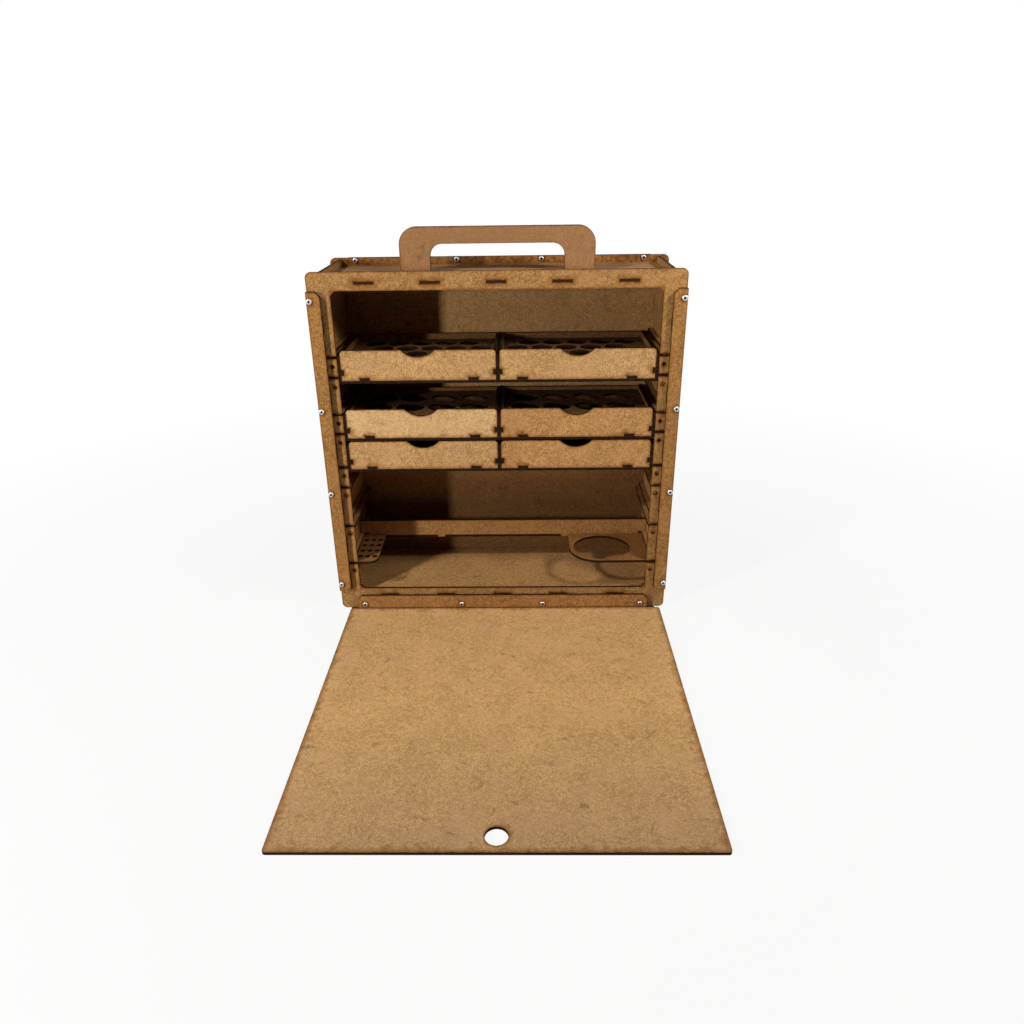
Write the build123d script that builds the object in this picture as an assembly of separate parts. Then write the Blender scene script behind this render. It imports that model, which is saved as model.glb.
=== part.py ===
from build123d import *
import os

# A carry case of laser-cut fibreboard for a hobby table: an open-fronted box with a handle,
# grooved side walls, three shelves with six drawers, a tool shelf, and a loose front board
# that lies on the table. Millimetres. X right, Y into the case, Z up. The origin is the
# middle of the front frame's bottom edge, on the table.

# Sheet stock and clearances
sheet = 3.0                  # fibreboard that the case and its fittings are cut from
channel_sheet = 3.4          # thicker board behind the front strips, so the front board slides
joint_gap = 0.1              # round a tab in its slot, and over and under a sliding piece
slide_side_gap = 0.3         # beside a sliding shelf
board_side_gap = 0.5         # beside the front board in its channel

# Case
case_width = 400.0
case_height = 406.0
inner_depth = 118.0          # between the front frame and the back panel
corner_radius = 6.0          # outer corners of the front frame and the back panel
stile_width = 24.5           # upright borders of the front frame
top_rail_width = 19.5
bottom_rail_width = 27.5
opening_chamfer = 5.0
side_inset = 11.0            # from the frame's edge to the side panel's outer face
top_inset = 10.0             # from the frame's top edge to the top panel's upper face
bottom_inset = 17.0          # from the table to the bottom panel's underside
side_panel_drop = 1.5        # side panels end this far below the frame's top edge

# Tabs and slots of the case
panel_tab_length = 21.0
panel_tab_count = 5
panel_tab_pitch = 69.5
back_tab_count = 3
back_tab_pitch = 139.0
end_tab_length = 20.0
end_tab_pitch = 60.0
side_tab_length = 20.0
lowest_side_tab_height = 38.0

# Grooves for shelves: each slit in the front frame leads to a groove between two rails
tool_slit_height = 63.0
plain_slit_pitch = 50.2      # two spare grooves above the tool shelf
lower_slit_rise = 24.6       # from the last plain groove to the lower shelf's groove
middle_spare_rise = 23.0
upper_spare_rise = 22.5
peg_hole_drop = 10.5         # from a slit's middle down to its peg hole
peg_hole_radius = 1.5
upper_rail_width = 6.0       # the rail over a groove; the one below reaches the stile's edge

# Drawer shelves
drawer_height = 33.5
stack_gap = 1.05             # over the lower drawers
display_gap = 30.05          # open space over the middle drawers
lower_floor_drop = 2.6       # from a shelf's groove down to its floor
middle_floor_drop = 5.45
upper_floor_drop = 3.8
shelf_front_inset = 0.5      # behind the front frame's face
shelf_depth = 117.5
shelf_wall_height = 28.0

# Drawers
drawer_depth = 105.0
drawer_wall_height = 30.0
drawer_side_gap = 0.2        # between a drawer and the shelf's end wall or divider
divider_gap = 0.5
front_corner_radius = 4.0
grip_width = 37.0
grip_depth = 8.0
floor_tab_length = 11.0
floor_tab_offset = 60.0      # from the drawer's middle
front_tab_height = 6.0
front_tab_rise = 6.0         # from the drawer's bottom to its side tab
wall_tab_length = 12.0
wall_tab_margin = 22.0       # from a drawer wall's end to its tab's middle
back_tab_rise = 10.0

# Paint racks inside the upper and middle drawers
small_rack_rise = 23.5       # from the drawer's bottom to the rack's upper face
small_hole_radius = 12.25
small_hole_pitch = 28.0
small_row_pitch = 26.5
small_holes_per_row = 5
small_row_count = 3
small_grid_shift = 3.0       # towards the shelf's divider
large_rack_rise = 26.0
large_hole_radius = 16.5
large_hole_pitch = 37.0
large_holes_per_row = 4
large_row_count = 2
large_grid_shift = 2.0

# Tool shelf
arm_depth = 73.5             # from the shelf's front edge to its upright
brush_arm_width = 33.2
brush_arm_radius = 12.0
brush_hole_radius = 3.25
brush_column_pitch = 9.0
brush_column_count = 3
brush_row_pitch = 15.0
brush_row_count = 4
brush_grid_shift = 2.5       # towards the middle of the case
cup_arm_width = 100.8
cup_arm_radius = 34.0
cup_hole_width = 70.0
cup_hole_depth = 63.5
cup_side_rim = 5.4
cup_front_rim = 4.0
upright_height = 20.5
upright_tab_length = 9.5
upright_tab_offset = 80.0

# Front strips, and the channel board behind them
side_strip_width = 14.5
strip_chamfer = 5.0
channel_board_width = 8.5
bottom_strip_lift = 3.0
bottom_strip_height = 17.5
bottom_strip_inset = 21.5    # from the case's edge to the strip's end
bottom_channel_height = 9.5
rear_strip_height = 14.5

# Front board, lying on the table
board_corner_radius = 3.0
board_stand_off = 0.8        # from the front strips to the board's rear edge
board_top_rise = 2.5         # over the side strips, when the board stands in its channel
board_shift = 3.0            # the board lies a little to the right
finger_hole_radius = 10.0
finger_hole_margin = 17.0    # from the board's front edge to the hole's middle

# Handle
handle_half_width = 108.0
handle_grip_height = 18.0
handle_leg_width = 33.8
handle_rise = 48.7           # over the top panel
handle_outer_radius = 19.0
handle_inner_radius = 13.5
handle_ply_count = 2
foot_tab_length = 20.0

# Screws and nuts, metric 3
middle_screw_pitch = 100.0   # between the two middle screws of a row
side_screw_margin = 9.5      # from a side strip's end to its first screw
bottom_screw_margin = 8.5    # from the bottom strip's end to its first screw
screw_edge_margin = 3.4      # from a side strip's outer edge
bottom_screw_rise = 5.3      # from the bottom strip's lower edge
screw_radius = 1.45
screw_hole_radius = 1.6
head_radius = 3.1
head_height = 1.9
head_rounding = 1.1
recess_length = 3.6
recess_width = 1.0
recess_depth = 1.2
recess_core_radius = 1.15
nut_width = 5.5
nut_height = 2.4
nut_hole_radius = 1.5
front_screw_length = 12.0
rear_screw_length = 9.0

# Heights and places that follow from the values above
front_face = -sheet / 2
frame_back = sheet / 2
back_front = frame_back + inner_depth
back_face = back_front + sheet
outer_half = case_width / 2
opening_half = outer_half - stile_width
side_outer = outer_half - side_inset
side_inner = side_outer - sheet
opening_bottom = bottom_rail_width
opening_top = case_height - top_rail_width
top_panel_base = case_height - top_inset - sheet
mid_depth = (frame_back + back_front) / 2

lower_slit_height = tool_slit_height + 2 * plain_slit_pitch + lower_slit_rise
lower_floor = lower_slit_height - lower_floor_drop
middle_floor = lower_floor + joint_gap + drawer_height + stack_gap + sheet
middle_slit_height = middle_floor + middle_floor_drop
upper_floor = middle_floor + joint_gap + drawer_height + display_gap + sheet
upper_slit_height = upper_floor + upper_floor_drop
slit_heights = [
    tool_slit_height,
    tool_slit_height + plain_slit_pitch,
    tool_slit_height + 2 * plain_slit_pitch,
    lower_slit_height,
    middle_slit_height,
    middle_slit_height + middle_spare_rise,
    upper_slit_height,
    upper_slit_height + upper_spare_rise,
]
slit_opening = sheet + 2 * joint_gap

strip_back = front_face - channel_sheet
strip_face = strip_back - sheet
strip_middle = (opening_bottom + opening_top) / 2
bottom_strip_half = outer_half - bottom_strip_inset
channel_inner = outer_half - channel_board_width
board_width = 2 * (channel_inner - board_side_gap)
board_length = opening_top + board_top_rise - bottom_strip_lift - bottom_channel_height
board_rear = strip_face - board_stand_off
side_screw_x = outer_half - screw_edge_margin
bottom_screw_height = bottom_strip_lift + bottom_screw_rise
rear_screw_height = case_height - screw_edge_margin

shelf_half = opening_half - slide_side_gap
runner_reach = outer_half - side_strip_width - slide_side_gap
shelf_front = front_face + shelf_front_inset
drawer_outer = shelf_half - sheet - drawer_side_gap
drawer_inner = sheet / 2 + divider_gap
drawer_width = drawer_outer - drawer_inner
drawer_middle = (drawer_outer + drawer_inner) / 2


def spread(count, pitch):
    """Places of a row of copies about zero."""
    return [(index - (count - 1) / 2) * pitch for index in range(count)]


def rectangle(u_low, u_high, v_low, v_high):
    """A rectangle between two corners."""
    middle = Pos((u_low + u_high) / 2, (v_low + v_high) / 2)
    return middle * Rectangle(u_high - u_low, v_high - v_low)


def slot(u, v, length, height):
    """A slot for a tab, with its clearance all round."""
    return Pos(u, v) * Rectangle(length + 2 * joint_gap, height + 2 * joint_gap)


def upright_sheet(face, front, thickness):
    """A face drawn in X and Z, made into a sheet that runs back from its front plane."""
    return extrude(Plane.XZ.offset(-(front + thickness)) * face, thickness)


def flat_sheet(face, base, thickness=sheet):
    """A face drawn in X and Y, made into a level sheet."""
    return extrude(Plane.XY.offset(base) * face, thickness)


def side_sheet(face, left, thickness=sheet):
    """A face drawn in Y and Z, made into a sheet across X."""
    return extrude(Plane.YZ.offset(left) * face, thickness)


def block(x_low, x_high, y_low, y_high, z_low, z_high):
    """A square-edged piece between two corners."""
    return flat_sheet(rectangle(x_low, x_high, y_low, y_high), z_low, z_high - z_low)


def mirrored(piece):
    """The same piece on the other side of the case."""
    return mirror(piece, Plane.YZ)


def corner_points(face, side, end):
    """The face's vertices at its far corner on the given sides of each direction."""
    by_u = face.vertices().sort_by(Axis.X)
    half = by_u[-2:] if side > 0 else by_u[:2]
    by_v = sorted(half, key=lambda vertex: vertex.Y)
    return [by_v[-1] if end > 0 else by_v[0]]


def export(name, shape):
    export_step(shape, f"parts/{name}.step")
    print(name, len(shape.solids()))


# Case

def end_plate_outline():
    """Outline shared by the front frame and the back panel."""
    outline = rectangle(-outer_half, outer_half, 0, case_height)
    return fillet(outline.vertices(), corner_radius)


def side_tab_heights():
    """Tabs of a side panel stand midway between slits, clear of every groove."""
    heights = [lowest_side_tab_height]
    for lower, upper in zip(slit_heights, slit_heights[1:] + [opening_top]):
        if upper - lower > side_tab_length + 2 * sheet + slit_opening:
            heights.append((lower + upper) / 2)
    return heights


def end_plate_slots(tab_places):
    """Slots where the top, bottom and side panels are tabbed through."""
    slots = []
    for base in (bottom_inset, top_panel_base):
        slots += [slot(x, base + sheet / 2, panel_tab_length, sheet) for x in tab_places]
    for x in (-(side_inner + sheet / 2), side_inner + sheet / 2):
        slots += [slot(x, z, sheet, side_tab_length) for z in side_tab_heights()]
    return slots


def row_offsets(strip_length, end_margin):
    """Places of four fasteners along a strip, about its middle."""
    end = strip_length / 2 - end_margin
    return [-end, -middle_screw_pitch / 2, middle_screw_pitch / 2, end]


def front_screw_places():
    """X and Z of the front screws: up both side strips, then along the bottom strip."""
    heights = row_offsets(opening_top - opening_bottom, side_screw_margin)
    places = [(x, strip_middle + z) for x in (-side_screw_x, side_screw_x) for z in heights]
    across = row_offsets(2 * bottom_strip_half, bottom_screw_margin)
    return places + [(x, bottom_screw_height) for x in across]


def rear_screw_places():
    across = row_offsets(2 * bottom_strip_half, bottom_screw_margin)
    return [(x, rear_screw_height) for x in across]


def screw_holes(places):
    return [Pos(x, z) * Circle(screw_hole_radius) for x, z in places]


def make_front_frame():
    """Front ring with its opening, slits, peg holes, tab slots and screw holes."""
    opening = rectangle(-opening_half, opening_half, opening_bottom, opening_top)
    opening = chamfer(opening.vertices(), opening_chamfer)
    face = end_plate_outline() - opening
    for height in slit_heights:
        half = slit_opening / 2
        face -= rectangle(-side_inner, -opening_half + 1, height - half, height + half)
        face -= rectangle(opening_half - 1, side_inner, height - half, height + half)
        for x in (-(opening_half + side_inner) / 2, (opening_half + side_inner) / 2):
            face -= Pos(x, height - peg_hole_drop) * Circle(peg_hole_radius)
    face -= end_plate_slots(spread(panel_tab_count, panel_tab_pitch))
    face -= screw_holes(front_screw_places())
    return upright_sheet(face, front_face, sheet)


def make_back_panel():
    """Full back sheet with tab slots and the holes of its top screws."""
    face = end_plate_outline() - end_plate_slots(spread(back_tab_count, back_tab_pitch))
    face -= screw_holes(rear_screw_places())
    return upright_sheet(face, back_front, sheet)


def level_panel_outline():
    """Top or bottom panel: between the side panels, with tabs on all four edges."""
    face = rectangle(-side_inner, side_inner, frame_back, back_front)
    for x in spread(panel_tab_count, panel_tab_pitch):
        half = panel_tab_length / 2
        face += rectangle(x - half, x + half, front_face, frame_back + 1)
    for x in spread(back_tab_count, back_tab_pitch):
        half = panel_tab_length / 2
        face += rectangle(x - half, x + half, back_front - 1, back_face)
    for y in spread(2, end_tab_pitch):
        face += Pos(0, mid_depth + y) * Rectangle(2 * side_outer, end_tab_length)
    return face


def handle_leg_middle():
    return handle_half_width - handle_leg_width / 2


def make_top_panel():
    """Top panel, slotted for the feet of the handle."""
    face = level_panel_outline()
    for x in (-handle_leg_middle(), handle_leg_middle()):
        face -= slot(x, mid_depth, foot_tab_length, handle_ply_count * sheet)
    return flat_sheet(face, top_panel_base)


def make_bottom_panel():
    return flat_sheet(level_panel_outline(), bottom_inset)


def make_right_side_panel():
    """Side wall: tabs at the front and back, slots for the top and bottom panels."""
    face = rectangle(frame_back, back_front, 0, case_height - side_panel_drop)
    for height in side_tab_heights():
        half = side_tab_length / 2
        face += rectangle(front_face, back_face, height - half, height + half)
    for base in (bottom_inset, top_panel_base):
        for y in spread(2, end_tab_pitch):
            face -= slot(mid_depth + y, base + sheet / 2, end_tab_length, sheet)
    return side_sheet(face, side_inner)


def make_right_rails():
    """A pair of rails for each slit, with a groove between them: the lower one is the wider."""
    rails = []
    for height in slit_heights:
        low = height - slit_opening / 2
        high = height + slit_opening / 2
        rails.append(block(opening_half, side_inner, frame_back, back_front, low - sheet, low))
        inner = side_inner - upper_rail_width
        rails.append(block(inner, side_inner, frame_back, back_front, high, high + sheet))
    return rails


# Handle

def make_handle():
    """Flat arch in two glued layers, tabbed into the top panel."""
    base = top_panel_base + sheet
    top = base + handle_rise
    outer = rectangle(-handle_half_width, handle_half_width, base, top)
    outer = fillet(corner_points(outer, 1, 1) + corner_points(outer, -1, 1), handle_outer_radius)
    inner_half = handle_half_width - handle_leg_width
    inner = rectangle(-inner_half, inner_half, base, top - handle_grip_height)
    inner = fillet(corner_points(inner, 1, 1) + corner_points(inner, -1, 1), handle_inner_radius)
    face = outer - inner
    for x in (-handle_leg_middle(), handle_leg_middle()):
        half = foot_tab_length / 2
        face += rectangle(x - half, x + half, top_panel_base, base + 1)
    front = mid_depth - handle_ply_count * sheet / 2
    return [upright_sheet(face, front + ply * sheet, sheet) for ply in range(handle_ply_count)]


# Front strips and channel boards

def make_right_front_strip():
    """Upright strip that holds the front board in, with its inner corners cut off."""
    face = rectangle(outer_half - side_strip_width, outer_half, opening_bottom, opening_top)
    face = chamfer(corner_points(face, -1, 1) + corner_points(face, -1, -1), strip_chamfer)
    face -= screw_holes(front_screw_places())
    return upright_sheet(face, strip_back - sheet, sheet)


def make_right_channel_board():
    """Narrow board between a side strip and the frame: one wall of the channel."""
    face = rectangle(channel_inner, outer_half, opening_bottom, opening_top)
    face -= screw_holes(front_screw_places())
    return upright_sheet(face, strip_back, channel_sheet)


def make_bottom_front_strip():
    half = bottom_strip_half
    top = bottom_strip_lift + bottom_strip_height
    face = rectangle(-half, half, bottom_strip_lift, top)
    face = chamfer(corner_points(face, 1, 1) + corner_points(face, -1, 1), strip_chamfer)
    face -= screw_holes(front_screw_places())
    return upright_sheet(face, strip_back - sheet, sheet)


def make_bottom_channel_board():
    """The front board stands on this one when the case is closed."""
    half = bottom_strip_half
    top = bottom_strip_lift + bottom_channel_height
    face = rectangle(-half, half, bottom_strip_lift, top) - screw_holes(front_screw_places())
    return upright_sheet(face, strip_back, channel_sheet)


def make_rear_top_strip():
    """Strip behind the back panel's top edge that its four screws clamp."""
    half = bottom_strip_half
    face = rectangle(-half, half, case_height - rear_strip_height, case_height)
    face -= screw_holes(rear_screw_places())
    return upright_sheet(face, back_face, sheet)


# Screws and nuts

def make_screw(length):
    """Pan-head screw with a cross recess, its head's underside at zero, pointing into the case."""
    head = extrude(Circle(head_radius), head_height)
    head = fillet(head.edges().group_by(Axis.Z)[-1], head_rounding)
    for turn in (0, 90):
        recess = Box(recess_length, recess_width, 2 * recess_depth)
        head -= Pos(0, 0, head_height) * Rot(0, 0, turn) * recess
    head -= Pos(0, 0, head_height) * Cylinder(recess_core_radius, 2 * recess_depth)
    shank = Pos(0, 0, -length) * extrude(Circle(screw_radius), length)
    return Rot(90, 0, 0) * (head + shank)


def make_nut():
    """Hexagon nut, its front face at zero, running back."""
    face = RegularPolygon(nut_width / 2, 6, major_radius=False) - Circle(nut_hole_radius)
    return Rot(90, 0, 0) * Pos(0, 0, -nut_height) * extrude(face, nut_height)


def placed(piece, places, y):
    return [Pos(x, y, z) * piece for x, z in places]


# Shelves for drawers

def make_shelf_base(floor):
    """Shelf floor that passes between the stiles."""
    rear = shelf_front + shelf_depth
    return block(-shelf_half, shelf_half, shelf_front, rear, floor - sheet, floor)


def make_shelf_end_walls(floor):
    """The two upright ends of a shelf."""
    rear = shelf_front + shelf_depth
    top = floor + shelf_wall_height
    right = block(shelf_half - sheet, shelf_half, shelf_front, rear, floor, top)
    return [mirrored(right), right]


def make_shelf_divider(floor):
    rear = shelf_front + shelf_depth
    return block(-sheet / 2, sheet / 2, shelf_front, rear, floor, floor + shelf_wall_height)


def make_shelf_runners(slit_height):
    """Strips on a shelf's ends that slide in the grooves and carry it."""
    rear = shelf_front + shelf_depth
    low = slit_height - sheet / 2
    right = block(shelf_half, runner_reach, shelf_front, rear, low, low + sheet)
    return [mirrored(right), right]


# Drawers, drawn on the right-hand side

def wall_tab_places():
    """Y of the tabs along a drawer's side wall."""
    front = shelf_front + sheet
    rear = shelf_front + drawer_depth - sheet
    return [front + wall_tab_margin, rear - wall_tab_margin]


def make_drawer_front(bottom):
    """Drawer front with a grip cut, notches for the floor's tabs and for the side walls' tabs."""
    top = bottom + drawer_height
    face = rectangle(drawer_inner, drawer_outer, bottom, top)
    face = fillet(corner_points(face, 1, 1) + corner_points(face, -1, 1), front_corner_radius)
    grip_radius = (grip_width ** 2 / 4 + grip_depth ** 2) / (2 * grip_depth)
    face -= Pos(drawer_middle, top - grip_depth + grip_radius) * Circle(grip_radius)
    for offset in (-floor_tab_offset, floor_tab_offset):
        face -= slot(drawer_middle + offset, bottom + sheet / 2, floor_tab_length, sheet)
    low = bottom + front_tab_rise
    for x in (drawer_inner, drawer_outer):
        face -= slot(x, low + front_tab_height / 2, 2 * sheet, front_tab_height)
    return upright_sheet(face, shelf_front, sheet)


def make_drawer_walls(bottom, rack_rise):
    """Two side walls and a back wall, tabbed together, with slots for a rack if there is one."""
    front = shelf_front + sheet
    rear = shelf_front + drawer_depth
    top = bottom + drawer_wall_height
    side = rectangle(front, rear, bottom, top)
    low = bottom + front_tab_rise
    side += rectangle(shelf_front, front + 1, low, low + front_tab_height)
    for y in wall_tab_places():
        side -= slot(y, bottom + sheet / 2, wall_tab_length, sheet)
        if rack_rise:
            side -= slot(y, bottom + rack_rise - sheet / 2, wall_tab_length, sheet)
    back_tab_middle = bottom + back_tab_rise + wall_tab_length / 2
    side -= slot(rear - sheet / 2, back_tab_middle, sheet, wall_tab_length)
    inner = side_sheet(side, drawer_inner)
    outer = side_sheet(side, drawer_outer - sheet)
    back = rectangle(drawer_inner + sheet, drawer_outer - sheet, bottom, top)
    back += Pos(drawer_middle, back_tab_middle) * Rectangle(drawer_width, wall_tab_length)
    return [inner, outer, upright_sheet(back, rear - sheet, sheet)]


def tabbed_tray(front_edge):
    """Level piece between a drawer's walls, tabbed into both side walls."""
    rear = shelf_front + drawer_depth - sheet
    face = rectangle(drawer_inner + sheet, drawer_outer - sheet, front_edge, rear)
    for y in wall_tab_places():
        face += Pos(drawer_middle, y) * Rectangle(drawer_width, wall_tab_length)
    return face


def make_drawer_floor(bottom):
    front = shelf_front + sheet
    face = tabbed_tray(front)
    for offset in (-floor_tab_offset, floor_tab_offset):
        middle = drawer_middle + offset
        half = floor_tab_length / 2
        face += rectangle(middle - half, middle + half, shelf_front, front + 1)
    return flat_sheet(face, bottom)


def small_hole_places():
    """Staggered rows of holes for narrow paint pots."""
    places = []
    for row, y in enumerate(spread(small_row_count, small_row_pitch)):
        stagger = small_hole_pitch / 4 * (1 if row % 2 == 0 else -1)
        shift = stagger - small_grid_shift
        places += [(x + shift, y) for x in spread(small_holes_per_row, small_hole_pitch)]
    return places


def large_hole_places():
    """Square rows of holes for wide paint pots."""
    columns = spread(large_holes_per_row, large_hole_pitch)
    rows = spread(large_row_count, large_hole_pitch)
    return [(x - large_grid_shift, y) for y in rows for x in columns]


def make_paint_rack(bottom, rack_rise, places, radius):
    """Perforated plate held above the drawer's floor."""
    middle = shelf_front + drawer_depth / 2
    face = tabbed_tray(shelf_front + sheet)
    face -= [Pos(drawer_middle + x, middle + y) * Circle(radius) for x, y in places]
    return flat_sheet(face, bottom + rack_rise - sheet)


# Tool shelf

def make_tool_shelf_plate():
    """Plate in the lowest groove: a brush arm on the left and a cup ring on the right."""
    half = runner_reach
    web_front = shelf_front + arm_depth
    face = rectangle(-half, half, web_front, shelf_front + shelf_depth)
    brush_arm = rectangle(-half, -half + brush_arm_width, shelf_front, web_front + 1)
    face += fillet(corner_points(brush_arm, 1, -1), brush_arm_radius)
    cup_arm = rectangle(half - cup_arm_width, half, shelf_front, web_front + 1)
    face += fillet(corner_points(cup_arm, -1, -1), cup_arm_radius)
    cup_x = half - cup_arm_width + cup_side_rim + cup_hole_width / 2
    cup_y = shelf_front + cup_front_rim + cup_hole_depth / 2
    face -= Pos(cup_x, cup_y) * Ellipse(cup_hole_width / 2, cup_hole_depth / 2)
    brush_x = -half + brush_arm_width / 2 + brush_grid_shift
    brush_y = shelf_front + arm_depth / 2
    for x in spread(brush_column_count, brush_column_pitch):
        for y in spread(brush_row_count, brush_row_pitch):
            face -= Pos(brush_x + x, brush_y + y) * Circle(brush_hole_radius)
    for x in (-upright_tab_offset, upright_tab_offset):
        face -= slot(x, web_front, upright_tab_length, 2 * sheet)
    return flat_sheet(face, tool_slit_height - sheet / 2)


def make_tool_shelf_upright():
    """Upright strip along the plate, notched at its ends to clear the rails."""
    half = runner_reach
    base = tool_slit_height + sheet / 2
    face = rectangle(-half, half, base, base + upright_height)
    for side in (-1, 1):
        notch_low = min(side * shelf_half, side * (half + 1))
        notch_high = max(side * shelf_half, side * (half + 1))
        face -= rectangle(notch_low, notch_high, base - 1, base + joint_gap + sheet + slide_side_gap)
    for x in (-upright_tab_offset, upright_tab_offset):
        tab = upright_tab_length / 2
        face += rectangle(x - tab, x + tab, base - sheet, base + 1)
    return upright_sheet(face, shelf_front + arm_depth, sheet)


# Front board

def make_front_board():
    """Board that closes the case from above, lying flat in front of it."""
    outline = Rectangle(board_width, board_length)
    outline = fillet(outline.vertices(), board_corner_radius)
    face = Pos(board_shift, board_rear - board_length / 2) * outline
    hole_y = board_rear - board_length + finger_hole_margin
    face -= Pos(board_shift, hole_y) * Circle(finger_hole_radius)
    return flat_sheet(face, 0)


def write_case():
    side_panel = make_right_side_panel()
    rails = make_right_rails()
    strip = make_right_front_strip()
    channel_board = make_right_channel_board()
    export("front_frame", make_front_frame())
    export("back_panel", make_back_panel())
    export("top_panel", make_top_panel())
    export("bottom_panel", make_bottom_panel())
    export("left_side_panel", mirrored(side_panel))
    export("right_side_panel", side_panel)
    export("left_rails", Compound([mirrored(rail) for rail in rails]))
    export("right_rails", Compound(rails))
    export("handle", Compound(make_handle()))
    export("left_front_strip", mirrored(strip))
    export("right_front_strip", strip)
    export("bottom_front_strip", make_bottom_front_strip())
    export("left_channel_board", mirrored(channel_board))
    export("right_channel_board", channel_board)
    export("bottom_channel_board", make_bottom_channel_board())
    export("rear_top_strip", make_rear_top_strip())


def write_fasteners():
    front_screw = make_screw(front_screw_length)
    rear_screw = make_screw(rear_screw_length)
    nut = make_nut()
    export("front_screws", Compound(placed(front_screw, front_screw_places(), strip_face)))
    export("front_nuts", Compound(placed(nut, front_screw_places(), frame_back)))
    export("rear_screws", Compound(placed(rear_screw, rear_screw_places(), back_front)))
    export("rear_nuts", Compound(placed(nut, rear_screw_places(), back_face + sheet)))


def write_shelf(name, floor, slit_height):
    export(f"{name}_shelf_base", make_shelf_base(floor))
    export(f"{name}_shelf_end_walls", Compound(make_shelf_end_walls(floor)))
    export(f"{name}_shelf_divider", make_shelf_divider(floor))
    export(f"{name}_shelf_runners", Compound(make_shelf_runners(slit_height)))


def write_drawers(name, floor, rack_rise, rack_holes, hole_radius):
    """Both drawers of a shelf: the right one as drawn, the left one mirrored."""
    bottom = floor + joint_gap
    pieces = {
        "drawer_front": [make_drawer_front(bottom)],
        "drawer_walls": make_drawer_walls(bottom, rack_rise),
        "drawer_floor": [make_drawer_floor(bottom)],
    }
    if rack_holes:
        pieces["paint_rack"] = [make_paint_rack(bottom, rack_rise, rack_holes, hole_radius)]
    for piece_name, solids in pieces.items():
        export(f"{name}_right_{piece_name}", Compound(solids))
        export(f"{name}_left_{piece_name}", Compound([mirrored(solid) for solid in solids]))


os.makedirs("parts", exist_ok=True)
write_case()
write_fasteners()
write_shelf("lower", lower_floor, lower_slit_height)
write_shelf("middle", middle_floor, middle_slit_height)
write_shelf("upper", upper_floor, upper_slit_height)
write_drawers("lower", lower_floor, 0, [], 0)
write_drawers("middle", middle_floor, large_rack_rise, large_hole_places(), large_hole_radius)
write_drawers("upper", upper_floor, small_rack_rise, small_hole_places(), small_hole_radius)
export("tool_shelf_plate", make_tool_shelf_plate())
export("tool_shelf_upright", make_tool_shelf_upright())
export("front_board", make_front_board())
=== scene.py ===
import math

import bpy
from mathutils import Matrix, Vector


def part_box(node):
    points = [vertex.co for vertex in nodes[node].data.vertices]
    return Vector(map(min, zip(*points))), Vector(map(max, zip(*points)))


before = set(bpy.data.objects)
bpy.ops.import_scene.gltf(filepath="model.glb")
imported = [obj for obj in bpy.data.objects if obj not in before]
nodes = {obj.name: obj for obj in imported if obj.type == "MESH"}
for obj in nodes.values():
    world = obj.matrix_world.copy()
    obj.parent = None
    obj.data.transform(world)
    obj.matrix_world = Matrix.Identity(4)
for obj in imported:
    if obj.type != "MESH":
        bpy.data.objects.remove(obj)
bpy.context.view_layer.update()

print("frame loaded:", len(nodes), "nodes")


# helpers for shader trees

def wire(tree, socket, value):
    if isinstance(value, bpy.types.NodeSocket):
        tree.links.new(value, socket)
    else:
        socket.default_value = value


def calc(tree, operation, *values):
    node = tree.nodes.new("ShaderNodeMath")
    node.operation = operation
    for socket, value in zip(node.inputs, values):
        wire(tree, socket, value)
    return node.outputs[0]


def chain(tree, operation, values):
    result = values[0]
    for value in values[1:]:
        result = calc(tree, operation, result, value)
    return result


def calcVector(tree, operation, first, second=None, output=0):
    node = tree.nodes.new("ShaderNodeVectorMath")
    node.operation = operation
    wire(tree, node.inputs[0], first)
    if second is not None:
        wire(tree, node.inputs[1], second)
    return node.outputs[output]


def split(tree, vector):
    node = tree.nodes.new("ShaderNodeSeparateXYZ")
    wire(tree, node.inputs[0], vector)
    return node.outputs


def noise(tree, vector, plan, shift=None):
    # a plan holds scale, detail, roughness and distortion
    if shift is not None:
        vector = calcVector(tree, "ADD", vector, shift)
    node = tree.nodes.new("ShaderNodeTexNoise")
    wire(tree, node.inputs["Vector"], vector)
    for key, value in zip(("Scale", "Detail", "Roughness", "Distortion"), plan):
        wire(tree, node.inputs[key], value)
    return node.outputs[0]


def remap(tree, value, low, high, newLow, newHigh):
    node = tree.nodes.new("ShaderNodeMapRange")
    node.clamp = True
    for socket, item in zip(node.inputs, (value, low, high, newLow, newHigh)):
        wire(tree, socket, item)
    return node.outputs[0]


def mixColour(tree, factor, first, second, blend="MIX"):
    node = tree.nodes.new("ShaderNodeMix")
    node.data_type = "RGBA"
    node.blend_type = blend
    wire(tree, node.inputs[0], factor)
    wire(tree, node.inputs[6], first)
    wire(tree, node.inputs[7], second)
    return node.outputs[2]


def newTree(name):
    material = bpy.data.materials.new(name)
    material.use_nodes = True
    tree = material.node_tree
    tree.nodes.clear()
    output = tree.nodes.new("ShaderNodeOutputMaterial")
    return material, tree, output


# raw fibreboard: colours are linear red, green, blue, and a higher softness gives a weaker grain

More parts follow.
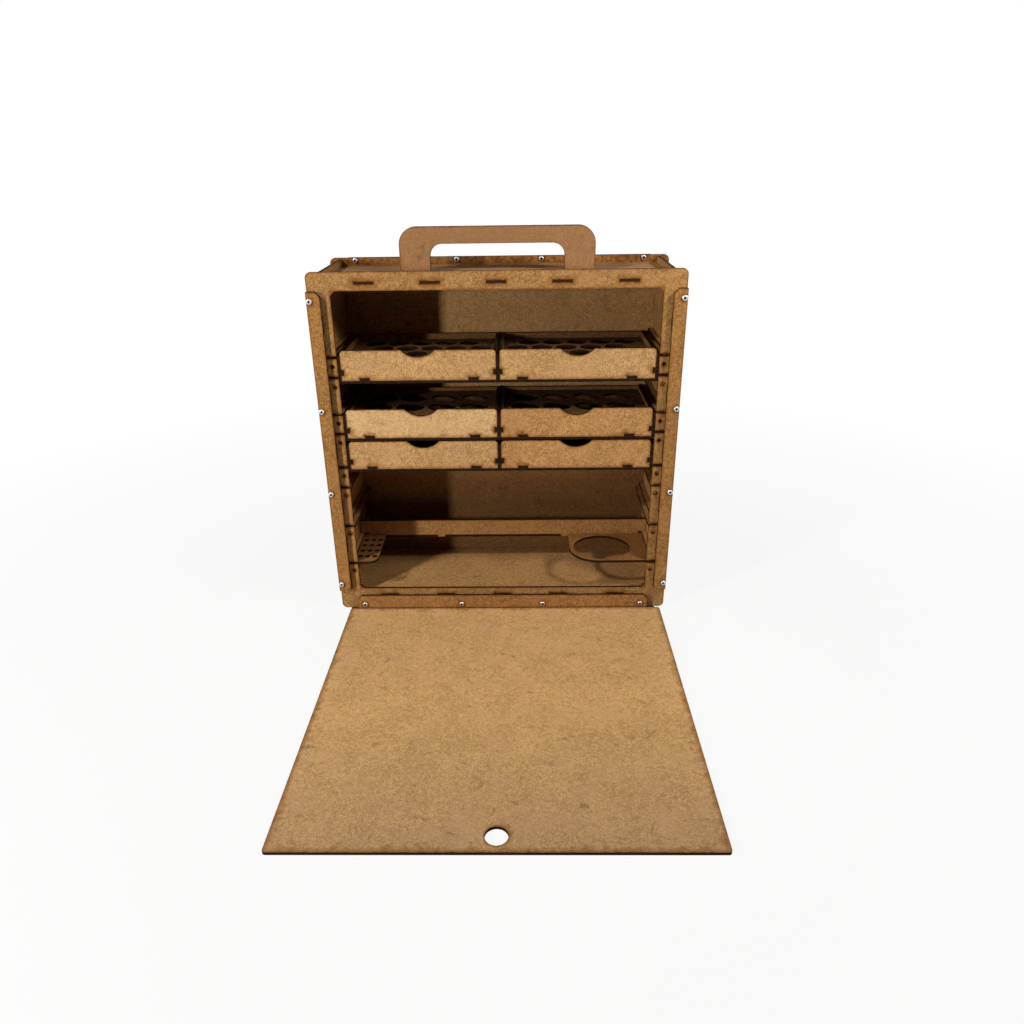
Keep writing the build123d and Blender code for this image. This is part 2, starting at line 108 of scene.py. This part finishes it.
boardTones = {
    "handle": {
        "light": (0.385, 0.205, 0.090, 1),
        "dark": (0.275, 0.138, 0.056, 1),
        "blush": (0.340, 0.170, 0.090, 1),
        "softness": 0.075,
    },
    "case": {
        "light": (0.510, 0.279, 0.096, 1),
        "dark": (0.214, 0.103, 0.032, 1),
        "blush": (0.382, 0.196, 0.080, 1),
        "softness": 0.058,
    },
    "inner": {
        "light": (0.545, 0.303, 0.113, 1),
        "dark": (0.256, 0.131, 0.044, 1),
        "blush": (0.426, 0.227, 0.093, 1),
        "softness": 0.055,
    },
    "back": {
        "light": (0.616, 0.351, 0.141, 1),
        "dark": (0.310, 0.164, 0.059, 1),
        "blush": (0.491, 0.271, 0.116, 1),
        "softness": 0.050,
    },
    "lid": {
        "light": (0.560, 0.330, 0.180, 1),
        "dark": (0.380, 0.205, 0.100, 1),
        "blush": (0.520, 0.290, 0.170, 1),
        "softness": 0.060,
    },
    "strip": {
        "light": (0.462, 0.231, 0.074, 1),
        "dark": (0.189, 0.085, 0.023, 1),
        "blush": (0.341, 0.166, 0.057, 1),
        "softness": 0.052,
    },
    "shelf": {
        "light": (0.432, 0.221, 0.072, 1),
        "dark": (0.195, 0.090, 0.027, 1),
        "blush": (0.323, 0.153, 0.056, 1),
        "softness": 0.055,
    },
    "plate": {
        "light": (0.330, 0.150, 0.042, 1),
        "dark": (0.145, 0.062, 0.016, 1),
        "blush": (0.240, 0.105, 0.032, 1),
        "softness": 0.055,
    },
    "drawer": {
        "light": (0.645, 0.395, 0.166, 1),
        "dark": (0.333, 0.180, 0.067, 1),
        "blush": (0.504, 0.291, 0.136, 1),
        "softness": 0.036,
    },
    "palerDrawer": {
        "light": (0.749, 0.494, 0.234, 1),
        "dark": (0.441, 0.266, 0.117, 1),
        "blush": (0.621, 0.388, 0.184, 1),
        "softness": 0.056,
    },
    "warmDrawer": {
        "light": (0.614, 0.348, 0.130, 1),
        "dark": (0.297, 0.146, 0.049, 1),
        "blush": (0.475, 0.247, 0.102, 1),
        "softness": 0.040,
    },
    # darker than the drawer fronts: painted shade on the drawers' walls and floors inside the case
    "wall": {
        "light": (0.230, 0.118, 0.042, 1),
        "dark": (0.085, 0.038, 0.013, 1),
        "blush": (0.160, 0.076, 0.028, 1),
        "softness": 0.050,
    },
    # very dark: painted shade under the shelves above, with laser smoke round the many holes
    "rack": {
        "light": (0.120, 0.058, 0.022, 1),
        "dark": (0.035, 0.015, 0.006, 1),
        "blush": (0.080, 0.036, 0.016, 1),
        "softness": 0.050,
    },
    "cover": {
        "light": (0.790, 0.480, 0.200, 1),
        "dark": (0.485, 0.276, 0.110, 1),
        "blush": (0.672, 0.390, 0.185, 1),
        "softness": 0.043,
    },
}

boardGrain = {
    "stroke": (820.0, 3.0, 0.70, 1.0),
    "flake": (250.0, 3.0, 0.62, 0.9),
    "patch": (30.0, 3.0, 0.50, 0.0),
    "cloud": (7.0, 2.0, 0.50, 0.0),
    "shares": (0.62, 0.25, 0.09, 0.04),
    "middle": 0.5,
    "blushPatch": (34.0, 2.0, 0.50, 0.0),
    "blushShift": (0.37, 0.11, 0.53),
    "blushReach": (0.45, 0.65, 0.0, 0.4),
    "paleStroke": (700.0, 2.0, 0.50, 2.4),
    "paleShift": (0.19, 0.71, 0.23),
    "paleReach": (0.60, 0.72, 0.0, 0.5),
    "paleColour": (0.720, 0.500, 0.270, 1),
    "smudge": (80.0, 4.0, 0.70, 0.6),
    "smudgeReach": (0.585, 0.750, 0.0, 0.55),
    "smudgeShift": (0.83, 0.29, 0.41),
    "smudgeColour": (0.120, 0.056, 0.020, 1),
}

boardGloss = {
    "specular": 0.06,
    "face": (0.3, 0.7, 0.70, 0.92),
    "side": (0.3, 0.7, 0.78, 0.94),
    "bump": 0.35,
    "bumpDepth": 0.0003,
}

laserBurn = {
    "edgeDark": (0.008, 0.004, 0.0022, 1),
    "edgeBrown": (0.038, 0.018, 0.009, 1),
    "tabBrown": (0.036, 0.016, 0.009, 1),
    "rimColour": (0.035, 0.014, 0.006, 1),
    "haloColour": (0.235, 0.086, 0.016, 1),
    "rimWidth": 0.0015,
    "rimSamples": 8,
    "rimReach": (0.55, 0.98, 0.95, 0.0),
    "rimShare": (0.30, 0.60, 0.65, 1.0),
    "striations": (1500.0, 3.0, 0.60, 0.0),
    "alongSheet": 0.94,
    "charredReach": (0.35, 0.68, 0.0, 1.0),
    "spread": (95.0, 4.0, 0.65, 0.4),
    "unevenReach": (0.30, 0.66, 3.2, 0.62),
    "patchiness": (240.0, 3.0, 0.60, 0.0),
    "patchyReach": (0.30, 0.66, 0.72, 1.12),
    "haloReach": (0.0, 0.80, 0.0, 0.88),
    "darkReach": (0.70, 1.00, 0.0, 0.85),
}


def fibreColour(tree, coords, tone):
    # fibres, flakes, patches and clouds set how light it is
    # hue patches, pale fibres and smudges lie over them
    grain = boardGrain
    layers = [noise(tree, coords, grain[key]) for key in ("stroke", "flake", "patch", "cloud")]
    shares = [calc(tree, "MULTIPLY", layer, share) for layer, share in zip(layers, grain["shares"])]
    low, high = grain["middle"] - tone["softness"], grain["middle"] + tone["softness"]
    level = remap(tree, chain(tree, "ADD", shares), low, high, 0.0, 1.0)
    colour = mixColour(tree, level, tone["dark"], tone["light"])
    overlays = (
        ("blushPatch", "blushShift", "blushReach", tone["blush"]),
        ("paleStroke", "paleShift", "paleReach", grain["paleColour"]),
        ("smudge", "smudgeShift", "smudgeReach", grain["smudgeColour"]),
    )
    for plan, shift, reach, over in overlays:
        amount = remap(tree, noise(tree, coords, grain[plan], grain[shift]), *grain[reach])
        colour = mixColour(tree, amount, colour, over)
    return colour, layers[0]


# burn marks: each is 1 at a cut and fades to 0 at its reach, which the smoke makes uneven

def fade(tree, distance, reach, uneven, strength):
    return remap(tree, calc(tree, "MULTIPLY", distance, uneven), 0.0, reach, strength, 0.0)


def nearest(tree, value, places):
    gaps = [calc(tree, "ABSOLUTE", calc(tree, "SUBTRACT", value, place)) for place in places]
    return chain(tree, "MINIMUM", gaps)


def beyond(tree, value, limit):
    return calc(tree, "MAXIMUM", calc(tree, "SUBTRACT", value, limit), 0.0)


def diagonal(tree, across, along):
    return calc(tree, "SQRT", calc(tree, "ADD", calc(tree, "MULTIPLY", across, across),
                                   calc(tree, "MULTIPLY", along, along)))


def rimMask(tree):
    # rays cast inside the sheet find its cut sides, so the mask grows towards every cut
    node = tree.nodes.new("ShaderNodeAmbientOcclusion")
    node.inside = True
    node.only_local = True
    node.samples = laserBurn["rimSamples"]
    node.inputs["Distance"].default_value = laserBurn["rimWidth"]
    return remap(tree, node.outputs["AO"], *laserBurn["rimReach"])


edgeBurn = {"reach": 0.0034, "coverReach": 0.0105, "strength": 0.80}


def sheetEdges(corners, axes, wide):
    # along a sheet's outer edges, further in on the front board
    low, high = corners
    reach = edgeBurn["coverReach"] if wide else edgeBurn["reach"]

    def build(tree, coords, uneven):
        values = split(tree, coords)
        gaps = []
        for axis in axes:
            gaps.append(calc(tree, "SUBTRACT", values[axis], low[axis]))
            gaps.append(calc(tree, "SUBTRACT", high[axis], values[axis]))
        return [fade(tree, chain(tree, "MINIMUM", gaps), reach, uneven, edgeBurn["strength"])]
    return build


frameBurn = {
    "slotPitch": 0.0695,
    "slotHalf": (0.0105, 0.0015),
    "slotHeights": (0.3945, 0.0185),
    "lastSlot": 0.165,
    "slotReach": 0.0100,
    "slotStrength": 0.92,
    "slitHeights": (0.063, 0.1132, 0.1634, 0.188, 0.2285, 0.2515, 0.2935, 0.316),
    "slitMiddle": 0.18075,
    "slitHalf": (0.00525, 0.0016),
    "slitReach": 0.0055,
    "slitStrength": 0.95,
    "pegDrop": 0.0105,
    "pegRadius": 0.0022,
    "pegReach": 0.0042,
    "pegStrength": 1.0,
    "opening": (0.1755, 0.207, 0.1795),
    "openingReach": 0.0050,
    "openingStrength": 0.85,
}


def frameCuts(tree, coords, uneven):
    # round the tab slots, the slits, the peg holes and the opening
    plan = frameBurn
    x, y, z = split(tree, coords)
    outward = calc(tree, "ABSOLUTE", x)
    across = beyond(tree, calc(tree, "PINGPONG", x, plan["slotPitch"] / 2), plan["slotHalf"][0])
    across = calc(tree, "ADD", across, calc(tree, "GREATER_THAN", outward, plan["lastSlot"]))
    slots = diagonal(tree, across, beyond(tree, nearest(tree, z, plan["slotHeights"]), plan["slotHalf"][1]))
    sideways = nearest(tree, outward, (plan["slitMiddle"],))
    slits = diagonal(tree, beyond(tree, sideways, plan["slitHalf"][0]),
                     beyond(tree, nearest(tree, z, plan["slitHeights"]), plan["slitHalf"][1]))
    pegHeights = [height - plan["pegDrop"] for height in plan["slitHeights"]]
    pegs = beyond(tree, diagonal(tree, sideways, nearest(tree, z, pegHeights)), plan["pegRadius"])
    half, middle, tall = plan["opening"]
    opening = diagonal(tree, beyond(tree, outward, half), beyond(tree, nearest(tree, z, (middle,)), tall))
    return [
        fade(tree, slots, plan["slotReach"], uneven, plan["slotStrength"]),
        fade(tree, slits, plan["slitReach"], uneven, plan["slitStrength"]),
        fade(tree, pegs, plan["pegReach"], uneven, plan["pegStrength"]),
        fade(tree, opening, plan["openingReach"], uneven, plan["openingStrength"]),
    ]


screwBurnAndShade = {
    "side": 0.1966,
    "sideHeights": (0.037, 0.157, 0.257, 0.377),
    "bottomHeight": 0.0083,
    "backHeight": 0.4026,
    "rowPlaces": (0.050, 0.170),
    "headRadius": 0.0029,
    "recessRadius": (0.0010, 0.0015),
    "reach": 0.0045,
    "strength": 0.95,
    "backReach": 0.0110,
    "upperDarkHeights": (0.3940, 0.3980),
    "upperDarkStrength": 0.78,
}


def screwDistance(tree, coords):
    plan = screwBurnAndShade
    x, y, z = split(tree, coords)
    outward = calc(tree, "ABSOLUTE", x)
    side = diagonal(tree, nearest(tree, outward, (plan["side"],)), nearest(tree, z, plan["sideHeights"]))
    rowHeights = (plan["bottomHeight"], plan["backHeight"])
    rows = diagonal(tree, nearest(tree, outward, plan["rowPlaces"]), nearest(tree, z, rowHeights))
    return calc(tree, "MINIMUM", side, rows)


def screwRings(tree, coords, uneven):
    # a screw's ring is partly burn and partly painted shade round the head; it is even, so it leaves the
    # smoke out
    rings = beyond(tree, screwDistance(tree, coords), screwBurnAndShade["headRadius"])
    return [fade(tree, rings, screwBurnAndShade["reach"], 1.0, screwBurnAndShade["strength"])]


def backUpperDarkening(tree, coords, uneven):
    # darker along the back panel's upper edge, most of all round its screws
    plan = screwBurnAndShade
    x, y, z = split(tree, coords)
    low, high = plan["upperDarkHeights"]
    edge = remap(tree, z, low, high, 0.0, plan["upperDarkStrength"])
    across = nearest(tree, calc(tree, "ABSOLUTE", x), plan["rowPlaces"])
    toScrew = diagonal(tree, across, nearest(tree, z, (plan["backHeight"],)))
    rings = beyond(tree, toScrew, plan["headRadius"])
    return [edge, fade(tree, rings, plan["backReach"], uneven, 1.0)]


drawerBurn = {
    "middle": 0.087,
    "floorTab": 0.060,
    "floorTabHalf": 0.0055,
    "floorTabHeight": 0.003,
    "floorReach": 0.0085,
    "floorStrength": 0.92,
    "sideTabRise": 0.009,
    "sideTabHalf": 0.003,
    "sideTabEdge": 0.082,
    "sideReach": 0.0065,
    "sideStrength": 0.90,
    "gripRadius": 0.0254,
    "gripRise": 0.0509,
    "gripReach": 0.0042,
    "gripStrength": 0.80,
    "footReach": 0.0075,
    "footStrength": 0.72,
}


def drawerCuts(bottom):
    # round the floor's tabs, the walls' tabs, the finger cut and the lower edge
    plan = drawerBurn

    def build(tree, coords, uneven):
        x, y, z = split(tree, coords)
        fromMiddle = calc(tree, "SUBTRACT", calc(tree, "ABSOLUTE", x), plan["middle"])
        spread = calc(tree, "ABSOLUTE", fromMiddle)
        height = calc(tree, "SUBTRACT", z, bottom)
        toTab = beyond(tree, nearest(tree, spread, (plan["floorTab"],)), plan["floorTabHalf"])
        floorTabs = diagonal(tree, toTab, beyond(tree, height, plan["floorTabHeight"]))
        toSide = beyond(tree, nearest(tree, height, (plan["sideTabRise"],)), plan["sideTabHalf"])
        inward = calc(tree, "MAXIMUM", calc(tree, "SUBTRACT", plan["sideTabEdge"], spread), 0.0)
        rise = calc(tree, "SUBTRACT", height, plan["gripRise"])
        grip = beyond(tree, diagonal(tree, rise, fromMiddle), plan["gripRadius"])
        return [
            fade(tree, floorTabs, plan["floorReach"], uneven, plan["floorStrength"]),
            fade(tree, diagonal(tree, inward, toSide), plan["sideReach"], uneven, plan["sideStrength"]),
            fade(tree, grip, plan["gripReach"], uneven, plan["gripStrength"]),
            fade(tree, height, plan["footReach"], uneven, plan["footStrength"]),
        ]
    return build


boardHole = {"place": (0.003, -0.3682), "radius": 0.010, "reach": 0.006, "strength": 0.85}


def coverHole(tree, coords, uneven):
    plan = boardHole
    x, y, z = split(tree, coords)
    radius = diagonal(tree, nearest(tree, x, plan["place"][:1]), nearest(tree, y, plan["place"][1:]))
    return [fade(tree, beyond(tree, radius, plan["radius"]), plan["reach"], uneven, plan["strength"])]


# soft gradients: they stand in for the photograph's uneven light, and are no stains on the object

paintedShadeGradients = {
    "front_board": {
        "axis": 1,
        "from": -0.200,
        "to": -0.385,
        "innerFace": False,
        "tint": (0.72, 0.74, 0.84, 1),
    },
    "back_panel": {
        "axis": 2,
        "from": 0.230,
        "to": 0.120,
        "innerFace": True,
        "tint": (0.43, 0.37, 0.32, 1),
    },
}
faceLimit = 0.5


def makeBoard(name, toneName, faceAxes, burns, tabEnds=None, paleEnds=False):
    # broad faces are fibre, cut sides are burnt: the surface's direction tells which is which
    material, tree, output = newTree(name)
    source = tree.nodes.new("ShaderNodeTexCoord")
    coords = source.outputs["Object"]
    direction = calcVector(tree, "ABSOLUTE", source.outputs["Normal"])
    facing = calcVector(tree, "DOT_PRODUCT", direction, faceAxes, output=1)
    face = calc(tree, "GREATER_THAN", facing, faceLimit)
    frontward = calc(tree, "LESS_THAN", split(tree, source.outputs["Normal"])[1], -faceLimit)
    if tabEnds is not None:
        atFront = calc(tree, "LESS_THAN", split(tree, coords)[1], tabEnds)
        tab = calc(tree, "MULTIPLY", frontward, atFront)
        face = calc(tree, "MULTIPLY", face, calc(tree, "SUBTRACT", 1.0, tab))

    colour, fibre = fibreColour(tree, coords, boardTones[toneName])
    # painted shade: a soft gradient darkens the colour along one axis, on the back panel only on its inner
    # face
    if name in paintedShadeGradients:
        shadeGradient = paintedShadeGradients[name]
        place = split(tree, coords)[shadeGradient["axis"]]
        amount = remap(tree, place, shadeGradient["from"], shadeGradient["to"], 0.0, 1.0)
        if shadeGradient["innerFace"]:
            amount = calc(tree, "MULTIPLY", amount, frontward)
        colour = mixColour(tree, amount, colour, shadeGradient["tint"], "MULTIPLY")
    spread = noise(tree, coords, laserBurn["spread"])
    uneven = remap(tree, spread, *laserBurn["unevenReach"])
    marks = [mark for burn in burns for mark in burn(tree, coords, uneven)]
    rim = calc(tree, "MULTIPLY", rimMask(tree), remap(tree, spread, *laserBurn["rimShare"]))
    burnt = chain(tree, "MAXIMUM", marks + [rim])
    patchy = remap(tree, noise(tree, coords, laserBurn["patchiness"]), *laserBurn["patchyReach"])
    burnt = calc(tree, "MULTIPLY", burnt, patchy)
    for reach, tint in (("haloReach", "haloColour"), ("darkReach", "rimColour")):
        colour = mixColour(tree, remap(tree, burnt, *laserBurn[reach]), colour, laserBurn[tint])

    stretch = tuple(1.0 - laserBurn["alongSheet"] * axis for axis in faceAxes)
    streak = noise(tree, calcVector(tree, "MULTIPLY", coords, stretch), laserBurn["striations"])
    charred = remap(tree, streak, *laserBurn["charredReach"])
    sides = mixColour(tree, charred, laserBurn["edgeDark"], laserBurn["edgeBrown"])
    if paleEnds:
        sides = mixColour(tree, frontward, sides, laserBurn["tabBrown"])
    colour = mixColour(tree, face, sides, colour)

    cutSide = calc(tree, "SUBTRACT", 1.0, face)
    faceRough = calc(tree, "MULTIPLY", remap(tree, fibre, *boardGloss["face"]), face)
    sideRough = calc(tree, "MULTIPLY", remap(tree, streak, *boardGloss["side"]), cutSide)
    faceRelief = calc(tree, "MULTIPLY", fibre, face)
    sideRelief = calc(tree, "MULTIPLY", streak, cutSide)
    bump = tree.nodes.new("ShaderNodeBump")
    bump.inputs["Strength"].default_value = boardGloss["bump"]
    bump.inputs["Distance"].default_value = boardGloss["bumpDepth"]
    wire(tree, bump.inputs["Height"], calc(tree, "ADD", faceRelief, sideRelief))

    shader = tree.nodes.new("ShaderNodeBsdfPrincipled")
    shader.inputs["Specular IOR Level"].default_value = boardGloss["specular"]
    wire(tree, shader.inputs["Base Color"], colour)
    wire(tree, shader.inputs["Roughness"], calc(tree, "ADD", faceRough, sideRough))
    wire(tree, shader.inputs["Normal"], bump.outputs[0])
    wire(tree, output.inputs[0], shader.outputs[0])
    return material


# zinc screws and nuts, with painted shade in the recesses of their heads

zincPlate = {
    "bright": (0.80, 0.81, 0.82, 1),
    "dull": (0.50, 0.50, 0.51, 1),
    "recess": (0.030, 0.028, 0.026, 1),
    "recessDepth": 0.0013,
    "recessSamples": 8,
    "recessReach": (0.30, 0.80, 1.0, 0.0),
    "clouds": (900.0, 3.0, 0.60, 0.0),
    "cloudReach": (0.35, 0.65, 0.0, 1.0),
    "roughness": (0.3, 0.7, 0.38, 0.24),
}


def makeZinc():
    material, tree, output = newTree("zincPlate")
    coords = tree.nodes.new("ShaderNodeTexCoord").outputs["Object"]
    cloud = noise(tree, coords, zincPlate["clouds"])
    brightness = remap(tree, cloud, *zincPlate["cloudReach"])
    colour = mixColour(tree, brightness, zincPlate["dull"], zincPlate["bright"])
    # painted shade: the head's recess and the core of the head are darkened
    recessShadeMask = tree.nodes.new("ShaderNodeAmbientOcclusion")
    recessShadeMask.only_local = True
    recessShadeMask.samples = zincPlate["recessSamples"]
    recessShadeMask.inputs["Distance"].default_value = zincPlate["recessDepth"]
    recessShade = remap(tree, recessShadeMask.outputs["AO"], *zincPlate["recessReach"])
    colour = mixColour(tree, recessShade, colour, zincPlate["recess"])
    coreShade = remap(tree, screwDistance(tree, coords), *screwBurnAndShade["recessRadius"], 1.0, 0.0)
    colour = mixColour(tree, coreShade, colour, zincPlate["recess"])
    shader = tree.nodes.new("ShaderNodeBsdfPrincipled")
    shader.inputs["Metallic"].default_value = 1.0
    wire(tree, shader.inputs["Base Color"], colour)
    wire(tree, shader.inputs["Roughness"], remap(tree, cloud, *zincPlate["roughness"]))
    wire(tree, output.inputs[0], shader.outputs[0])
    return material


# how each piece is finished: its tone, and which way its broad faces look

sheetLies = {
    "across": {"faces": (1.0, 0.0, 0.0), "edges": (1, 2)},
    "upright": {"faces": (0.0, 1.0, 0.0), "edges": (0, 2)},
    "level": {"faces": (0.0, 0.0, 1.0), "edges": (0, 1)},
    "box": {"faces": (1.0, 1.0, 0.0), "edges": (2,)},
    "bars": {"faces": (0.0, 0.0, 1.0), "edges": ()},
}

pieceFinishes = {
    "front_frame": ("case", "upright"),
    "back_panel": ("back", "upright"),
    "top_panel": ("lid", "level"),
    "bottom_panel": ("inner", "level"),
    "left_side_panel": ("inner", "across"),
    "right_side_panel": ("inner", "across"),
    "left_rails": ("inner", "bars"),
    "right_rails": ("inner", "bars"),
    "handle": ("handle", "upright"),
    "left_front_strip": ("strip", "upright"),
    "right_front_strip": ("strip", "upright"),
    "bottom_front_strip": ("strip", "upright"),
    "rear_top_strip": ("strip", "upright"),
    "left_channel_board": ("strip", "upright"),
    "right_channel_board": ("strip", "upright"),
    "bottom_channel_board": ("strip", "upright"),
    "tool_shelf_plate": ("plate", "level"),
    "tool_shelf_upright": ("shelf", "upright"),
    "front_board": ("cover", "level"),
}
drawerTones = {
    "upper_left": "drawer",
    "upper_right": "drawer",
    "middle_left": "palerDrawer",
    "middle_right": "warmDrawer",
    "lower_left": "drawer",
    "lower_right": "warmDrawer",
}
for row in ("upper", "middle", "lower"):
    pieceFinishes[row + "_shelf_base"] = ("shelf", "level")
    pieceFinishes[row + "_shelf_end_walls"] = ("shelf", "across")
    pieceFinishes[row + "_shelf_divider"] = ("shelf", "across")
    pieceFinishes[row + "_shelf_runners"] = ("shelf", "bars")
for drawer, tone in drawerTones.items():
    pieceFinishes[drawer + "_drawer_front"] = (tone, "upright")
    pieceFinishes[drawer + "_drawer_walls"] = ("wall", "box")
    pieceFinishes[drawer + "_drawer_floor"] = ("wall", "level")
    if not drawer.startswith("lower"):
        pieceFinishes[drawer + "_paint_rack"] = ("rack", "level")

cutMarks = {"front_frame": frameCuts, "front_board": coverHole, "back_panel": backUpperDarkening}
wallTabs = 0.0015


def boardFor(name):
    tone, lie = pieceFinishes[name]
    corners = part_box(name)
    burns = []
    if sheetLies[lie]["edges"]:
        burns.append(sheetEdges(corners, sheetLies[lie]["edges"], name == "front_board"))
    if name in cutMarks:
        burns.append(cutMarks[name])
    if name.endswith("front_strip"):
        burns.append(screwRings)
    if name.endswith("drawer_front"):
        burns.append(drawerCuts(corners[0][2]))
    tabEnds = wallTabs if lie == "box" else None
    paleEnds = name in ("top_panel", "bottom_panel")
    return makeBoard(name, tone, sheetLies[lie]["faces"], burns, tabEnds, paleEnds)


zinc = makeZinc()
for name, piece in nodes.items():
    finish = boardFor(name) if name in pieceFinishes else zinc
    for slot in piece.material_slots:
        slot.material = finish
print("finishes on:", len(nodes), "pieces")


# white floor: it fades to plain white away from the object, keeps the shadow near it,
# and is painted dark under the case as a shadow, where only the slit beside the front board shows it

floorPlan = {
    "half": 6.0,
    "drop": 0.0003,
    "colour": (0.70, 0.70, 0.69, 1),
    "middle": (0.0, -0.12, 0.0),
    "near": 0.40,
    "far": 1.15,
    "nearWhite": 0.89,
    "footprint": {
        "half": (0.189, 0.0665),
        "middle": 0.0575,
        "colour": (0.060, 0.045, 0.035, 1),
    },
}


def cameraRays(tree):
    rays = tree.nodes.new("ShaderNodeLightPath")
    kinds = ("Is Camera Ray", "Is Glossy Ray", "Is Transmission Ray")
    return chain(tree, "MAXIMUM", [rays.outputs[kind] for kind in kinds])


def makeFloor():
    bpy.ops.mesh.primitive_plane_add(size=2 * floorPlan["half"], location=(0, 0, -floorPlan["drop"]))
    floor = bpy.context.object
    floor.name = "floor"
    material, tree, output = newTree("paleFloor")
    coords = tree.nodes.new("ShaderNodeTexCoord").outputs["Object"]
    away = calcVector(tree, "DISTANCE", coords, floorPlan["middle"], output=1)
    white = remap(tree, away, floorPlan["near"], floorPlan["far"], floorPlan["nearWhite"], 1.0)
    # painted shadow: under the case the floor takes a dark colour and no white glow
    footprint = floorPlan["footprint"]
    x, y, z = split(tree, coords)
    outside = calc(tree, "ADD", beyond(tree, calc(tree, "ABSOLUTE", x), footprint["half"][0]),
                   beyond(tree, nearest(tree, y, (footprint["middle"],)), footprint["half"][1]))
    clear = calc(tree, "GREATER_THAN", outside, 0.0)
    white = calc(tree, "MULTIPLY", white, clear)
    plain = tree.nodes.new("ShaderNodeBsdfDiffuse")
    wire(tree, plain.inputs["Color"], mixColour(tree, clear, footprint["colour"], floorPlan["colour"]))
    glow = tree.nodes.new("ShaderNodeEmission")
    glow.inputs["Color"].default_value = (1, 1, 1, 1)
    mix = tree.nodes.new("ShaderNodeMixShader")
    wire(tree, mix.inputs[0], calc(tree, "MULTIPLY", cameraRays(tree), white))
    wire(tree, mix.inputs[1], plain.outputs[0])
    wire(tree, mix.inputs[2], glow.outputs[0])
    wire(tree, output.inputs[0], mix.outputs[0])
    floor.data.materials.append(material)


makeFloor()


# light: a lamp above on the right, a window and a lamp on the left, one low behind,
# and a weak room light

lightPlan = {
    "aim": (0.0, 0.0, 0.2),
    "room": 0.020,
    "roomColour": (1.0, 0.985, 0.96, 1),
    "lamps": {
        "ceilingLamp": {
            "place": (0.489, -0.301, 0.691),
            "size": (0.12, 0.12),
            "level": 0.46,
            "colour": (1.0, 0.97, 0.93),
        },
        "leftWindow": {
            "place": (-0.963, -0.900, 0.485),
            "size": (0.07, 0.14),
            "level": 0.46,
            "colour": (1.0, 0.98, 0.95),
        },
        "leftLamp": {
            "place": (-0.921, -0.851, 1.231),
            "size": (0.12, 0.12),
            "level": 0.42,
            "colour": (1.0, 0.97, 0.93),
        },
        "backLamp": {
            "place": (0.15, 1.30, 0.30),
            "size": (0.60, 0.60),
            "level": 0.42,
            "colour": (1.0, 0.98, 0.95),
        },
    },
}


def addLamp(name, plan):
    # a lamp of this power lights a surface that faces it to the given level
    towards = Vector(plan["place"]) - Vector(lightPlan["aim"])
    data = bpy.data.lights.new(name, "AREA")
    data.shape = "RECTANGLE"
    data.size, data.size_y = plan["size"]
    data.energy = math.pi ** 2 * towards.length_squared * plan["level"]
    data.color = plan["colour"]
    lamp = bpy.data.objects.new(name, data)
    bpy.context.scene.collection.objects.link(lamp)
    lamp.location = plan["place"]
    lamp.rotation_euler = towards.to_track_quat("Z", "Y").to_euler()


for name, plan in lightPlan["lamps"].items():
    addLamp(name, plan)


def makeWorld():
    world = bpy.data.worlds.new("room")
    bpy.context.scene.world = world
    world.use_nodes = True
    tree = world.node_tree
    tree.nodes.clear()
    output = tree.nodes.new("ShaderNodeOutputWorld")
    room = tree.nodes.new("ShaderNodeBackground")
    room.inputs["Color"].default_value = lightPlan["roomColour"]
    room.inputs["Strength"].default_value = lightPlan["room"]
    white = tree.nodes.new("ShaderNodeBackground")
    white.inputs["Color"].default_value = (1, 1, 1, 1)
    mix = tree.nodes.new("ShaderNodeMixShader")
    wire(tree, mix.inputs[0], cameraRays(tree))
    wire(tree, mix.inputs[1], room.outputs[0])
    wire(tree, mix.inputs[2], white.outputs[0])
    wire(tree, output.inputs[0], mix.outputs[0])


makeWorld()
bpy.context.scene.view_settings.view_transform = "Standard"
print("light and floor ready")


# camera: the photograph's own place and lens, fitted to it; angles are in degrees

cameraPlan = {
    "place": (0.02726, -0.85157, 0.51829),
    "turn": -0.996,
    "tilt": 24.546,
    "roll": -0.78,
    "lens": 27.79,
    "sensor": 36.0,
    "shift": (0.00078, 0.00007),
}


def addCamera():
    turn, tilt, roll = (math.radians(cameraPlan[key]) for key in ("turn", "tilt", "roll"))
    ahead = Vector((math.sin(turn) * math.cos(tilt), math.cos(turn) * math.cos(tilt), -math.sin(tilt)))
    right = Vector((math.cos(turn), -math.sin(turn), 0))
    up = right.cross(ahead)
    across = right * math.cos(roll) + up * math.sin(roll)
    upward = up * math.cos(roll) - right * math.sin(roll)
    axes = Matrix((across, upward, -ahead)).transposed()
    data = bpy.data.cameras.new("camera")
    data.lens = cameraPlan["lens"]
    data.sensor_width = cameraPlan["sensor"]
    data.shift_x, data.shift_y = cameraPlan["shift"]
    camera = bpy.data.objects.new("camera", data)
    bpy.context.scene.collection.objects.link(camera)
    camera.matrix_world = Matrix.Translation(cameraPlan["place"]) @ axes.to_4x4()
    bpy.context.scene.camera = camera


addCamera()
print("camera set")
